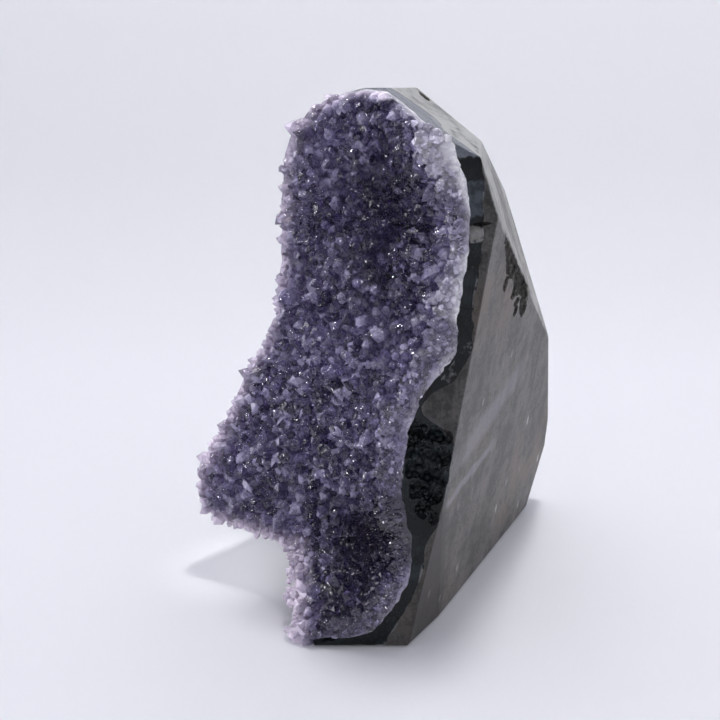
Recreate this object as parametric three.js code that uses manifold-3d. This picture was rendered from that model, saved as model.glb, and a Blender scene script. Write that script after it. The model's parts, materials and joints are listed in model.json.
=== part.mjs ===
// Amethyst geode, sawn out of its pocket in basalt and polished on its outer flats so that it stands alone.
// Three layers, from the outside in: the basalt, the dark chalcedony rind that lined the pocket, and the crust
// of amethyst crystals that grew on the rind. The crystal face looks along -Y, and the sawn base is at Z = 0.

import * as THREE from 'three';
import { mergeVertices } from 'three/addons/utils/BufferGeometryUtils.js';
import Module from 'manifold-3d';

const wasm = await Module();
wasm.setup();

// Driving dimensions, in millimetres and degrees.
const BLANK = { width: 150, depth: 200, height: 175 };
const CENTRE = new THREE.Vector3(0, 0, 70);
const REACH_FAR = 300;
const LAYER_GAP = 0.3;

// The pocket wall leans back as it rises. Each swell moves it in (positive) or out towards the front.
const WALL = { footY: -10, lean: 0.09 };
const SWELLS = [
  { name: 'upper hollow', x: 22, z: 115, depth: 11, halfWidth: 22, halfHeight: 28, power: 2 },
  { name: 'waist hollow', x: 38, z: 88, depth: 4, halfWidth: 10, halfHeight: 10, power: 2 },
  { name: 'lower hollow', x: 14, z: 27, depth: 12, halfWidth: 16, halfHeight: 15, power: 2 },
  { name: 'left lobe', x: -40, z: 30, depth: -8, halfWidth: 16, halfHeight: 20, power: 2 },
  { name: 'bottom lip', x: 2, z: 0, depth: -13, halfWidth: 16, halfHeight: 12, power: 2 },
];
const WALL_GRID = { width: 160, height: 190, across: 17, up: 20 };

// The chalcedony rind is even, except where it thickens. A power above 2 gives a swell a flat top and steep sides.
const RIND_THICKNESS = 3;
const RIND_SWELLS = [
  { name: 'low on the right', x: 34, z: 52, depth: 7.5, halfWidth: 16, halfHeight: 16, power: 4 },
  { name: 'under the top', x: 18, z: 152, depth: 6, halfWidth: 18, halfHeight: 18, power: 2 },
];

// The crystals' roots grew together into one sheet.
const CRUST_ROOT = 2.6;

// Polished and sawn flats. Turn 0 faces -Y and 90 faces +X, tilt lifts the face upwards,
// and reach is the distance of the flat from CENTRE.
const FLATS = [
  { name: 'side beside the crystals', turn: 48, tilt: 0, reach: 23.75 },
  { name: 'broad right side', turn: 112.5, tilt: -7.7, reach: 36.3 },
  { name: 'long right bevel', turn: 137, tilt: 17.4, reach: 52.6 },
  { name: 'top', turn: 150, tilt: 60, reach: 74 },
  { name: 'crown', turn: -131, tilt: 72.8, reach: 75.9 },
  { name: 'upper back', turn: 160, tilt: 40, reach: 66.6 },
  { name: 'middle back', turn: 165, tilt: 16, reach: 63.9 },
  { name: 'lower back', turn: 165, tilt: -22, reach: 92 },
  { name: 'bottom corner', turn: 103.4, tilt: -22.3, reach: 51.8 },
  { name: 'back left', turn: -140, tilt: 12, reach: 52 },
  { name: 'left', turn: -102, tilt: 8, reach: 44 },
  { name: 'left underside', turn: -90, tilt: -35, reach: 61.5 },
];
const CRYSTAL_FLATS = ['side beside the crystals', 'long right bevel', 'top', 'crown'];

// The broken left edge of the pocket, from the lobe up over the shoulder, as seen from the front.
const LEFT_EDGE = [
  [-46, -5], [-45, 10], [-43.5, 22], [-42, 30], [-39, 40], [-36, 50], [-32, 63], [-27, 71], [-22.5, 80],
  [-21, 92], [-21.5, 115], [-22, 125], [-19.5, 133], [-14, 140], [-6, 145.5], [4, 149], [18, 151],
];
// Below the lobe the pocket broke away, up to a level ledge.
const UNDERCUT = { turn: -42, reach: 14.6, top: 17 };

// Amethyst points: six-sided, stubby, crowded and leaning at random about the wall's own direction.
const CRYSTAL = { spacing: 7.8, width: 3.9, prism: 3.0, tip: 3.2, vary: 0.3, lean: 22, root: 1.2 };
const SEED = 1807;

const MATERIALS = {
  basalt: new THREE.MeshStandardMaterial({ color: 0x6f6a66, roughness: 0.35, metalness: 0 }),
  chalcedony: new THREE.MeshStandardMaterial({ color: 0x1d262c, roughness: 0.2, metalness: 0 }),
  amethyst: new THREE.MeshStandardMaterial({ color: 0x7a6da0, roughness: 0.12, metalness: 0 }),
};

// Turns a closed three.js geometry into a solid that can be joined and cut.
function solidOf(geometry) {
  const bare = geometry.clone();
  for (const name of Object.keys(bare.attributes)) {
    if (name !== 'position') bare.deleteAttribute(name);
  }
  const merged = mergeVertices(bare, 1e-4);
  return new wasm.Manifold(new wasm.Mesh({
    numProp: 3,
    vertProperties: new Float32Array(merged.attributes.position.array),
    triVerts: new Uint32Array(merged.index.array),
  }));
}

// Turns a solid back into a geometry.
function geometryOf(solid) {
  const mesh = solid.getMesh();
  const geometry = new THREE.BufferGeometry();
  geometry.setAttribute('position', new THREE.BufferAttribute(new Float32Array(mesh.vertProperties), 3));
  geometry.setIndex(new THREE.BufferAttribute(new Uint32Array(mesh.triVerts), 1));
  const faceted = geometry.toNonIndexed();
  faceted.computeVertexNormals();
  return faceted;
}

// A repeatable stream of numbers from 0 to 1.
function makeRandom(seed) {
  let state = seed;
  return () => {
    state = (state * 1664525 + 1013904223) % 4294967296;
    return state / 4294967296;
  };
}

function bell(x, z, spot) {
  const across = Math.abs((x - spot.x) / spot.halfWidth);
  const up = Math.abs((z - spot.z) / spot.halfHeight);
  return Math.exp(-(across ** spot.power) - (up ** spot.power));
}

function swollen(start, swells, x, z) {
  return swells.reduce((sum, swell) => sum + swell.depth * bell(x, z, swell), start);
}

// The pocket wall, where the rind ends and the crystals begin.
function wallY(x, z) {
  return swollen(WALL.footY + WALL.lean * z, SWELLS, x, z);
}

// The direction that looks out of the wall into the open pocket.
function wallNormal(x, z) {
  const step = 0.5;
  const slopeX = (wallY(x + step, z) - wallY(x - step, z)) / (2 * step);
  const slopeZ = (wallY(x, z + step) - wallY(x, z - step)) / (2 * step);
  return new THREE.Vector3(slopeX, -1, slopeZ).normalize();
}

function rindThickness(x, z) {
  return swollen(RIND_THICKNESS, RIND_SWELLS, x, z);
}

// Everything behind a surface that follows the wall at a given depth. Negative depths lie in the open pocket.
function behindWall(depthAt) {
  const { width, height, across, up } = WALL_GRID;
  const geometry = new THREE.BoxGeometry(width, 2 * BLANK.depth, height, across, 1, up);
  geometry.translate(0, 0, height / 2 - 15);
  const point = geometry.attributes.position;
  for (let i = 0; i < point.count; i += 1) {
    if (point.getY(i) < 0) {
      const x = point.getX(i);
      const z = point.getZ(i);
      const stretch = 1 / -wallNormal(x, z).y;
      point.setY(i, wallY(x, z) + depthAt(x, z) * stretch);
    }
  }
  return solidOf(geometry);
}

// A large box whose inner face lies on a flat.
function offcut(flat) {
  const box = new THREE.BoxGeometry(2 * REACH_FAR, REACH_FAR, 2 * REACH_FAR);
  box.translate(0, -flat.reach - REACH_FAR / 2, 0);
  box.rotateX(THREE.MathUtils.degToRad(-flat.tilt));
  box.rotateZ(THREE.MathUtils.degToRad(flat.turn));
  box.translate(CENTRE.x, CENTRE.y, CENTRE.z);
  return solidOf(box);
}

function cutToFlats(flats) {
  const box = new THREE.BoxGeometry(BLANK.width, BLANK.depth, BLANK.height);
  box.translate(0, 0, BLANK.height / 2);
  return flats.reduce((solid, flat) => solid.subtract(offcut(flat)), solidOf(box));
}

function leftEdgePoints() {
  const edge = new THREE.SplineCurve(LEFT_EDGE.map(([x, z]) => new THREE.Vector2(x, z)));
  return edge.getPoints(24);
}

// All that lies to the right of the broken left edge.
function rightOfEdge(edge) {
  const outline = new THREE.Shape([
    ...edge,
    new THREE.Vector2(BLANK.width, BLANK.height),
    new THREE.Vector2(BLANK.width, -5),
  ]);
  const geometry = new THREE.ExtrudeGeometry(outline, { depth: 2 * BLANK.depth, bevelEnabled: false });
  geometry.rotateX(Math.PI / 2);
  geometry.translate(0, BLANK.depth, 0);
  return solidOf(geometry);
}

function undercutSolid() {
  const box = new THREE.BoxGeometry(REACH_FAR, REACH_FAR, 2 * UNDERCUT.top);
  box.translate(0, -UNDERCUT.reach - REACH_FAR / 2, 0);
  box.rotateZ(THREE.MathUtils.degToRad(UNDERCUT.turn));
  return solidOf(box);
}

// How far a point stands outside a vertical or tilted flat; negative is inside.
function beyondFlat(point, flat) {
  const turn = THREE.MathUtils.degToRad(flat.turn);
  const tilt = THREE.MathUtils.degToRad(flat.tilt);
  const out = new THREE.Vector3(
    Math.sin(turn) * Math.cos(tilt),
    -Math.cos(turn) * Math.cos(tilt),
    Math.sin(tilt),
  );
  return out.dot(point.clone().sub(CENTRE)) - flat.reach;
}

function rightOf(edge, x, z) {
  let inside = x > edge[edge.length - 1].x;
  for (let i = 1; i < edge.length; i += 1) {
    const [low, high] = [edge[i - 1], edge[i]];
    if (z >= low.y && z < high.y) {
      inside = x > low.x + ((high.x - low.x) * (z - low.y)) / (high.y - low.y);
    }
  }
  return inside;
}

// True where crystals grow: on the wall, inside the flats, the broken edge and the undercut.
function crystalsGrowAt(root, edge) {
  const underLobe = root.z < UNDERCUT.top + 1
    && beyondFlat(root, { turn: UNDERCUT.turn, tilt: 0, reach: UNDERCUT.reach - 1 }) > 0;
  const insideFlats = FLATS.every((flat) => beyondFlat(root, flat) < 0.5);
  return !underLobe && insideFlats && root.z > 0.5 && rightOf(edge, root.x - 1.2, root.z);
}

function crystalSolid(root, direction, size, random) {
  const radius = CRYSTAL.width * size;
  const shaft = CRYSTAL.root + CRYSTAL.prism * size * (0.6 + 0.8 * random());
  const profile = [
    new THREE.Vector2(0, 0),
    new THREE.Vector2(radius, 0),
    new THREE.Vector2(radius, shaft),
    new THREE.Vector2(0, shaft + CRYSTAL.tip * size),
  ];
  const geometry = new THREE.LatheGeometry(profile, 6);
  geometry.rotateY(random() * Math.PI);
  geometry.translate(0, -CRYSTAL.root, 0);
  geometry.applyQuaternion(new THREE.Quaternion().setFromUnitVectors(new THREE.Vector3(0, 1, 0), direction));
  geometry.translate(root.x, root.y, root.z);
  return solidOf(geometry);
}

// Leans a direction by a random amount, up to the crystals' lean.
function leaned(direction, random) {
  const side = new THREE.Vector3(random() - 0.5, random() - 0.5, random() - 0.5);
  side.cross(direction).normalize();
  const angle = THREE.MathUtils.degToRad(CRYSTAL.lean) * Math.sqrt(random());
  return direction.clone().applyAxisAngle(side, angle);
}

function growCrystals(edge) {
  const random = makeRandom(SEED);
  const crystals = [];
  const rowHeight = CRYSTAL.spacing * 0.87;
  for (let row = 0; row * rowHeight < BLANK.height; row += 1) {
    for (let x = -BLANK.width / 2 + (row % 2) * CRYSTAL.spacing / 2; x < BLANK.width / 2; x += CRYSTAL.spacing) {
      const rootX = x + (random() - 0.5) * CRYSTAL.spacing * 0.5;
      const rootZ = 1 + (row + (random() - 0.5) * 0.5) * rowHeight;
      const size = 1 + (random() - 0.5) * 2 * CRYSTAL.vary;
      const normal = wallNormal(rootX, rootZ);
      const root = new THREE.Vector3(rootX, wallY(rootX, rootZ), rootZ);
      root.addScaledVector(normal, LAYER_GAP + CRUST_ROOT * 0.7);
      const direction = leaned(normal, random);
      if (crystalsGrowAt(root, edge)) crystals.push(crystalSolid(root, direction, size, random));
    }
  }
  return wasm.Manifold.union(crystals);
}

function largestPiece(solid) {
  return solid.decompose().reduce((best, piece) => (piece.volume() > best.volume() ? piece : best));
}

function part(name, solid, material) {
  const mesh = new THREE.Mesh(geometryOf(largestPiece(solid)), material);
  mesh.name = name;
  return mesh;
}

const edge = leftEdgePoints();
const block = cutToFlats(FLATS).intersect(rightOfEdge(edge)).subtract(undercutSolid());
const rindFront = behindWall(() => 0);
const rindBack = behindWall(rindThickness);
const rockFront = behindWall((x, z) => rindThickness(x, z) + LAYER_GAP);
const crustBack = behindWall(() => -LAYER_GAP);
const crustFront = behindWall(() => -LAYER_GAP - CRUST_ROOT);

const rock = block.intersect(rockFront);
const rind = block.intersect(rindFront).subtract(rindBack);
const crustFloor = block.intersect(crustFront);
const crystalRoom = cutToFlats(FLATS.filter((flat) => CRYSTAL_FLATS.includes(flat.name)));
const crystals = growCrystals(edge).intersect(crystalRoom);
const crust = crustFloor.add(crystals).subtract(crustBack);

const geode = new THREE.Group();
geode.add(
  part('host_rock', rock, MATERIALS.basalt),
  part('chalcedony_rind', rind, MATERIALS.chalcedony),
  part('amethyst_crust', crust, MATERIALS.amethyst),
);

// The origin is the middle of the base, under the middle of the whole.
const bounds = new THREE.Box3().setFromObject(geode);
const middle = bounds.getCenter(new THREE.Vector3());
geode.position.set(-middle.x, -middle.y, -bounds.min.z);

export default geode;
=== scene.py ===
# %% [markdown]
# # An amethyst geode on a pale table
# A geode is a bubble in cooled lava that crystals grew into. This one was sawn out of its pocket, and its
# outer flats were polished, so that it stands on its own base like a small tower. It has three layers:
# the dark basalt outside, a thin rind of chalcedony that lined the bubble, and the crust of amethyst
# points that grew on the rind.
#
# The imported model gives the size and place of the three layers. Each one is built again here, finer, in
# the same place: metres, the base at Z = 0, and the crystals looking along -Y.

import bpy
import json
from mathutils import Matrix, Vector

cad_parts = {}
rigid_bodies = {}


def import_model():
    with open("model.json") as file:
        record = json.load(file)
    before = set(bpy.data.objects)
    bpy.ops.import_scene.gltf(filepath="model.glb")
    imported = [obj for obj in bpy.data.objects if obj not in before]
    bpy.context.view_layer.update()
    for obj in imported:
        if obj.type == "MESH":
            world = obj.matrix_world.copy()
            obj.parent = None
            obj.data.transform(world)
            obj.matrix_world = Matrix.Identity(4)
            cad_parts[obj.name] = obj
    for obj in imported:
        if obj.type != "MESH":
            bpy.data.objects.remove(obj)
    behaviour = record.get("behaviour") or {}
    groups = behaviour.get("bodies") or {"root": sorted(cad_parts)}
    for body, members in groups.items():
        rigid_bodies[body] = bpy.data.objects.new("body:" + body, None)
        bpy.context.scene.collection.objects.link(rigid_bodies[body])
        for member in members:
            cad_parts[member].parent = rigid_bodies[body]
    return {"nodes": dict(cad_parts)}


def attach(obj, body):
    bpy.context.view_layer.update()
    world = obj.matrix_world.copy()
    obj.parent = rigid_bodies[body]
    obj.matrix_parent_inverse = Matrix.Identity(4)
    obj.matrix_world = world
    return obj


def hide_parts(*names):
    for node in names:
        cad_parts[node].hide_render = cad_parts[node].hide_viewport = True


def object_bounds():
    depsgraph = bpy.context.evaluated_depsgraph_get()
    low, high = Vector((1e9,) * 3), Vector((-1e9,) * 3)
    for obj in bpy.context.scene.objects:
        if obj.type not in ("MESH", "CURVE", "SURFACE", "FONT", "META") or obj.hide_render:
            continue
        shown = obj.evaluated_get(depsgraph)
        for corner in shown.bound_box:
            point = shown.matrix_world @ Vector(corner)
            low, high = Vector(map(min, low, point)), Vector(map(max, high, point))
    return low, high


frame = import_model()
cad_box = [list(corner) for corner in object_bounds()]
print("the frame's nodes:", sorted(frame["nodes"]), "box:", cad_box)

# %% [markdown]
# ## The block
# A lapidary cuts a geode as a diamond is cut, flat by flat. The same can be done in Blender: a cube of
# rough rock is bisected by one plane after another, and the side outside each plane is thrown away while
# the cut is filled. That keeps every face truly flat and every ridge where two flats meet, which no
# amount of sculpting would.
#
# A flat is given as on a lapidary's chart: the turn around the stone (0 faces -Y, 90 faces +X), the tilt
# upwards, and the reach from a centre inside the stone.

# %% Measures of the rough block and its flats
import json
import math

import bpy
import numpy as np
from mathutils import Matrix, Vector, kdtree, noise

MM = 0.001
BLOCK_ORIGIN = Vector((0.532, -28.978, 0)) * MM
BLOCK_SIZE = Vector((150, 200, 175)) * MM
FLATS_CENTRE = BLOCK_ORIGIN + Vector((0, 0, 70)) * MM
SIDE, CHAMFER = "side beside the crystals", "front chamfer"
BROAD, BEVEL = "broad right side", "long right bevel"
FLATS = {
    SIDE: (48, 0, 23.75),
    BROAD: (112.5, -7.7, 36.3),
    CHAMFER: (106.2, -9.4, 37.8),
    BEVEL: (137, 17.4, 52.6),
    "top": (150, 60, 74),
    "crown": (-131, 72.8, 75.9),
    "upper back": (160, 40, 66.6),
    "middle back": (165, 16, 63.9),
    "lower back": (165, -22, 92),
    "bottom corner": (103.4, -22.3, 51.8),
    "back left": (-140, 12, 52),
    "left": (-102, 8, 44),
    "left underside": (-90, -35, 61.5),
}


def facing(turn, tilt):
    """The unit vector that a flat with this turn and tilt, in degrees, looks along."""
    turn, tilt = math.radians(turn), math.radians(tilt)
    return Vector((math.sin(turn) * math.cos(tilt), -math.cos(turn) * math.cos(tilt), math.sin(tilt)))


def flat_plane(name):
    """A point on a flat, and the direction the flat looks."""
    turn, tilt, reach = FLATS[name]
    outward = facing(turn, tilt)
    return FLATS_CENTRE + outward * reach * MM, outward


# %% Helpers for working by hand, one operator after another
def only(piece):
    """Deselects everything but this piece, in object mode, and makes it the active one."""
    if bpy.context.object and bpy.context.object.mode != "OBJECT":
        bpy.ops.object.mode_set(mode="OBJECT")
    bpy.ops.object.select_all(action="DESELECT")
    piece.select_set(True)
    bpy.context.view_layer.objects.active = piece


def in_edit_mode(piece, *steps):
    """Runs edit-mode steps with the whole mesh selected at first."""
    only(piece)
    bpy.ops.object.mode_set(mode="EDIT")
    bpy.ops.mesh.select_all(action="SELECT")
    for step in steps:
        step()
    bpy.ops.object.mode_set(mode="OBJECT")


def fresh(name, add, **settings):
    """Adds a primitive with nothing else selected, under its own name and with its place in its mesh."""
    bpy.ops.object.select_all(action="DESELECT")
    add(**settings)
    piece = bpy.context.object
    piece.name = name
    bpy.ops.object.transform_apply(location=True, rotation=True, scale=True)
    return piece


def triangles(piece):
    piece.data.calc_loop_triangles()
    return len(piece.data.loop_triangles)


def cut_to_flats(name, flats):
    """A cube of rough rock, cut down to the named flats."""
    middle = BLOCK_ORIGIN + Vector((0, 0, BLOCK_SIZE.z / 2))
    piece = fresh(name, bpy.ops.mesh.primitive_cube_add, size=1, location=middle, scale=BLOCK_SIZE)

    def saw(flat):
        point, outward = flat_plane(flat)
        bpy.ops.mesh.select_all(action="SELECT")
        bpy.ops.mesh.bisect(plane_co=point, plane_no=outward, use_fill=True, clear_outer=True)

    in_edit_mode(piece, *[lambda flat=flat: saw(flat) for flat in flats])
    return piece


# %% Saw the block
block = cut_to_flats("block", FLATS)
print("block:", len(block.data.polygons), "faces, size in mm:", [round(s / MM, 1) for s in block.dimensions])


# %% The base is sawn last, and its sharp edge is knocked off so that it doesn't splinter
BASE_ROUNDING = 1.5 * MM
SKIN = 0.02 * MM


def select_base_edge():
    bpy.ops.mesh.select_all(action="DESELECT")
    bpy.ops.object.mode_set(mode="OBJECT")
    for edge in block.data.edges:
        edge.select = all(block.data.vertices[end].co.z < SKIN for end in edge.vertices)
    bpy.ops.object.mode_set(mode="EDIT")


in_edit_mode(
    block,
    lambda: bpy.ops.mesh.select_mode(type="EDGE"),
    select_base_edge,
    lambda: bpy.ops.mesh.bevel(offset=BASE_ROUNDING, segments=3, affect="EDGES"),
    lambda: bpy.ops.mesh.select_mode(type="VERT"),
)
print("block with its base edge rounded:", triangles(block), "triangles")

# %% Polishing rounds every ridge a little
RIDGE_ROUNDING = 0.55 * MM
RIDGE_ANGLE = math.radians(8)


def finish_with(piece, kind, **settings):
    """Adds a modifier and applies it at once, as pressing Ctrl+A over it does."""
    only(piece)
    modifier = piece.modifiers.new(kind.lower(), kind)
    for setting, value in settings.items():
        setattr(modifier, setting, value)
    bpy.ops.object.modifier_apply(modifier=modifier.name)
    return piece


finish_with(block, "BEVEL", width=RIDGE_ROUNDING, segments=2, limit_method="ANGLE", angle_limit=RIDGE_ANGLE)
print("block with rounded ridges:", triangles(block), "triangles")

# %% [markdown]
# ## The pocket wall
# The pocket wall is the old bubble's skin. Everything else follows it: the rind lies behind it and the
# crystals stand on it. So it is written down once, as the Y of the wall over every X and Z: a plane that
# leans back, and seven broad swells. The rind's thickness is written the same way.
#
# A layer is then a sheet that follows the wall, extruded backwards into a solid, and the block is split
# by it.

# %% The wall's shape
WALL_FOOT = -10
WALL_LEAN = 0.09
# Each swell: x, z, depth, half width, half height, power. A power above 2 gives a flat top and steep sides.
WALL_SWELLS = {
    "upper hollow": (22, 115, 11, 22, 28, 2),
    "waist hollow": (38, 88, 4, 10, 10, 2),
    "lower hollow": (14, 27, 12, 16, 15, 2),
    "left lobe": (-40, 30, -8, 16, 20, 2),
    "bottom lip": (2, 0, -13, 16, 12, 2),
    "foot under the lip": (16.5, -1, -4.5, 6.5, 4.4, 6),
    "under the shoulder": (27, 142, -5, 8, 8, 2),
}
RIND_THICKNESS = 3
RIND_SWELLS = {
    "low on the right": (34, 52, 7.5, 16, 16, 4),
    "under the top": (18, 152, 6, 18, 18, 2),
    "island of basalt": (33, 73.5, -2.3, 11, 5, 4),
}


def swollen(start, swells, x, z):
    """A measure in millimetres at a place on the wall, given in metres. Works on whole arrays at once."""
    across, up = (x - BLOCK_ORIGIN.x) / MM, z / MM
    total = start(across, up)
    for at_x, at_z, depth, half_width, half_height, power in swells.values():
        sideways, upwards = np.abs((across - at_x) / half_width), np.abs((up - at_z) / half_height)
        total = total + depth * np.exp(-(sideways**power) - upwards**power)
    return total


def wall_y(x, z):
    """Y of the pocket wall, in metres."""
    return swollen(lambda across, up: WALL_FOOT + WALL_LEAN * up, WALL_SWELLS, x, z) * MM + BLOCK_ORIGIN.y


def wall_normals(x, z, step=0.5 * MM):
    """Unit vectors that look out of the wall into the open pocket, one row for each place."""
    slope_x = (wall_y(x + step, z) - wall_y(x - step, z)) / (2 * step)
    slope_z = (wall_y(x, z + step) - wall_y(x, z - step)) / (2 * step)
    out = np.stack([slope_x, -np.ones_like(slope_x), slope_z], axis=-1)
    return out / np.linalg.norm(out, axis=-1, keepdims=True)


def rind_depth(x, z):
    """How thick the rind is, in metres."""
    return swollen(lambda across, up: RIND_THICKNESS, RIND_SWELLS, x, z) * MM


# %% A sheet that follows the wall, and the solid behind it
SHEET_WIDTH = 130 * MM
SHEET_HEIGHT = 175 * MM
SHEET_FOOT = 8 * MM


def corners_of(piece):
    """All vertex places of a piece, as an array of rows."""
    places = np.empty(len(piece.data.vertices) * 3)
    piece.data.vertices.foreach_get("co", places)
    return places.reshape(-1, 3)


def move_corners(piece, places):
    piece.data.vertices.foreach_set("co", np.asarray(places).ravel())
    piece.data.update()


def lumps(places, size, seed, octaves=3):
    """Smooth noise between about -1 and 1 at each place, with lumps of this size in metres."""
    away = Vector((seed * 7.31, seed * 3.17, seed * 5.73))
    return np.array([noise.fractal(Vector(p) / size + away, 0.9, 2.0, octaves) for p in places])


def thickened(piece, way):
    """Extrudes a sheet, which makes it the solid that lies on one side of itself."""
    in_edit_mode(
        piece,
        lambda: bpy.ops.mesh.extrude_region_move(TRANSFORM_OT_translate={"value": way}),
        lambda: bpy.ops.mesh.select_all(action="SELECT"),
        lambda: bpy.ops.mesh.normals_make_consistent(inside=False),
    )
    return piece


def behind_wall(name, cell, depth_at, swing=0.0, swing_size=4 * MM, seed=1):
    """Everything behind a sheet at a given depth behind the wall. The sheet wavers by swing."""
    columns, rows = round(SHEET_WIDTH / cell), round(SHEET_HEIGHT / cell)
    piece = fresh(name, bpy.ops.mesh.primitive_grid_add, x_subdivisions=columns, y_subdivisions=rows,
                  size=1)
    unit = corners_of(piece)
    x, z = unit[:, 0] * SHEET_WIDTH, (unit[:, 1] + 0.5) * SHEET_HEIGHT - SHEET_FOOT
    places = np.stack([x, wall_y(x, z), z], axis=1)
    stretch = 1 / -wall_normals(x, z)[:, 1]
    waver = lumps(places, swing_size, seed) * swing if swing else 0
    places[:, 1] = wall_y(x, z) + (depth_at(x, z) + waver) * stretch
    move_corners(piece, places)
    return thickened(piece, (0, BLOCK_SIZE.y, 0))


def copied(piece, name):
    """A copy with its own mesh."""
    twin = piece.copy()
    twin.data = piece.data.copy()
    twin.name = name
    bpy.context.scene.collection.objects.link(twin)
    return twin


def thrown_away(*pieces):
    for piece in pieces:
        bpy.data.objects.remove(piece)


def carved(piece, tool, operation):
    """Joins, cuts or intersects a piece with a tool, which stays as it was."""
    return finish_with(piece, "BOOLEAN", object=tool, operation=operation, solver="MANIFOLD")


# %% [markdown]
# ## The broken left edge
# On the left the pocket wasn't sawn: it broke there, along a line that runs from the round lobe over a
# waist up to the shoulder, and below the lobe a whole piece fell out and left a ledge. Both breaks are
# rough. A sheet along the break, shaken by noise and extruded to the left, is the tool that takes the
# rest away.

# %% The break line and the tool that follows it
BREAK_LINE = [
    (-46, -8), (-45, 10), (-43.5, 22), (-42, 30), (-39, 40), (-36, 50), (-32, 63), (-27, 71), (-22.5, 80),
    (-21, 92), (-21.5, 115), (-22, 125), (-19.5, 133), (-14, 140), (-6, 145.5), (4, 149), (18, 151),
    (70, 160),
]
BREAK_CELL = 1.3 * MM
BREAK_ROUGHNESS = 0.9 * MM


def along_break(share):
    """X and Z of the break line, in metres, at a share of its length from its foot to its top."""
    line = np.array(BREAK_LINE) * MM
    run = np.concatenate([[0], np.cumsum(np.linalg.norm(np.diff(line, axis=0), axis=1))])
    at = share * run[-1]
    return np.interp(at, run, line[:, 0]) + BLOCK_ORIGIN.x, np.interp(at, run, line[:, 1])


def break_tool():
    depth = 150 * MM
    rows, columns = round(240 * MM / BREAK_CELL), round(depth / BREAK_CELL)
    piece = fresh("break_tool", bpy.ops.mesh.primitive_grid_add, x_subdivisions=rows,
                  y_subdivisions=columns, size=1)
    places = corners_of(piece)
    x, z = along_break(places[:, 0] + 0.5)
    y = places[:, 1] * depth
    rough = np.stack([x, y, z], axis=1)
    rough[:, 0] += lumps(rough, 7 * MM, 5, 5) * BREAK_ROUGHNESS
    move_corners(piece, rough)
    return thickened(piece, (-BLOCK_SIZE.x, 0, 0))


UNDERCUT_TURN = -42
UNDERCUT_REACH = 14.6 * MM
UNDERCUT_TOP = 17 * MM
LOBE_WIDTH = 25 * MM


def undercut_tool():
    """A rough block that takes out the fallen piece under the lobe."""
    side = 120 * MM
    outward = facing(UNDERCUT_TURN, 0)
    middle = BLOCK_ORIGIN + outward * (UNDERCUT_REACH + side / 2)
    piece = fresh("undercut_tool", bpy.ops.mesh.primitive_cube_add, size=1, location=middle,
                  scale=(side, side, 2 * UNDERCUT_TOP), rotation=(0, 0, math.radians(UNDERCUT_TURN)))
    in_edit_mode(piece, lambda: bpy.ops.mesh.subdivide(number_cuts=60))
    places = corners_of(piece)
    shake = np.stack([lumps(places, 6 * MM, seed, 4) for seed in (11, 12, 13)], axis=1)
    move_corners(piece, places + shake * BREAK_ROUGHNESS * 0.8)
    return piece


def short_of_ledge(places):
    """How far each place lies in front of the ledge's back, in metres. Below 0 it is in the fallen piece."""
    return UNDERCUT_REACH - (places - np.array(BLOCK_ORIGIN)) @ np.array(facing(UNDERCUT_TURN, 0))


# %% Break the block
broken_off = break_tool()
fallen_out = undercut_tool()
for tool in (broken_off, fallen_out):
    carved(block, tool, "DIFFERENCE")
print("broken block:", triangles(block), "triangles")

# %% [markdown]
# ## Host rock and rind
# The two are split out of the block by their sheets. They touch along a skin far thinner than a hair, so
# each one stays a closed solid of its own.

# %% Split the block into rock and rind
SCALLOP, SCALLOP_SIZE = 0.55 * MM, 3.2 * MM
WALL_WAVER, WALL_WAVER_SIZE = 0.6 * MM, 3.0 * MM
SHEET_CELL = 1.1 * MM
rind_back = behind_wall("rind_back", SHEET_CELL, rind_depth, SCALLOP, SCALLOP_SIZE, seed=2)
rock_front = behind_wall("rock_front", SHEET_CELL, lambda x, z: rind_depth(x, z) + SKIN,
                         SCALLOP, SCALLOP_SIZE, seed=2)
wall_front = behind_wall("wall_front", SHEET_CELL, lambda x, z: 0 * x, WALL_WAVER, WALL_WAVER_SIZE, seed=1)

rock = carved(copied(block, "basalt_rock"), rock_front, "INTERSECT")
rind = carved(copied(block, "rind"), wall_front, "INTERSECT")
carved(rind, rind_back, "DIFFERENCE")
print("rock:", triangles(rock), "triangles; rind:", triangles(rind), "triangles")

# %% [markdown]
# ## Amethyst points
# The crust is a few millimetres of quartz. Its roots grew together into one sheet, and from the sheet
# thousands of points crowd out, none the same size and none quite upright. A quartz point is a six-sided
# shaft under six faces that lean together, and in amethyst three of those faces are usually bigger, so
# the tip looks like a tilted cube.
#
# Four points are modelled by hand. Geometry Nodes plant copies of them on the wall and join all of them
# with the sheet into one closed solid, so that light passes from one into the next without crossing a
# wall of air. Pressing thousands of points together by hand, or scattering them as loose instances, would
# leave faces inside the quartz, and every one of them would show as a grey film.

# %% Four points to grow from
POINT_KINDS = {
    # name: shaft radius, shaft height, tip height, how far the tip stands off centre,
    # and how much every other side pulls in
    "even_point": (1.0, 1.15, 0.95, (0.05, 0.08), 0.0),
    "cubic_point": (1.08, 0.9, 0.85, (0.20, -0.14), 0.2),
    "slanted_point": (0.95, 1.2, 0.75, (-0.38, 0.22), 0.08),
    "stubby_point": (1.12, 0.8, 0.62, (0.12, 0.30), 0.12),
}


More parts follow.
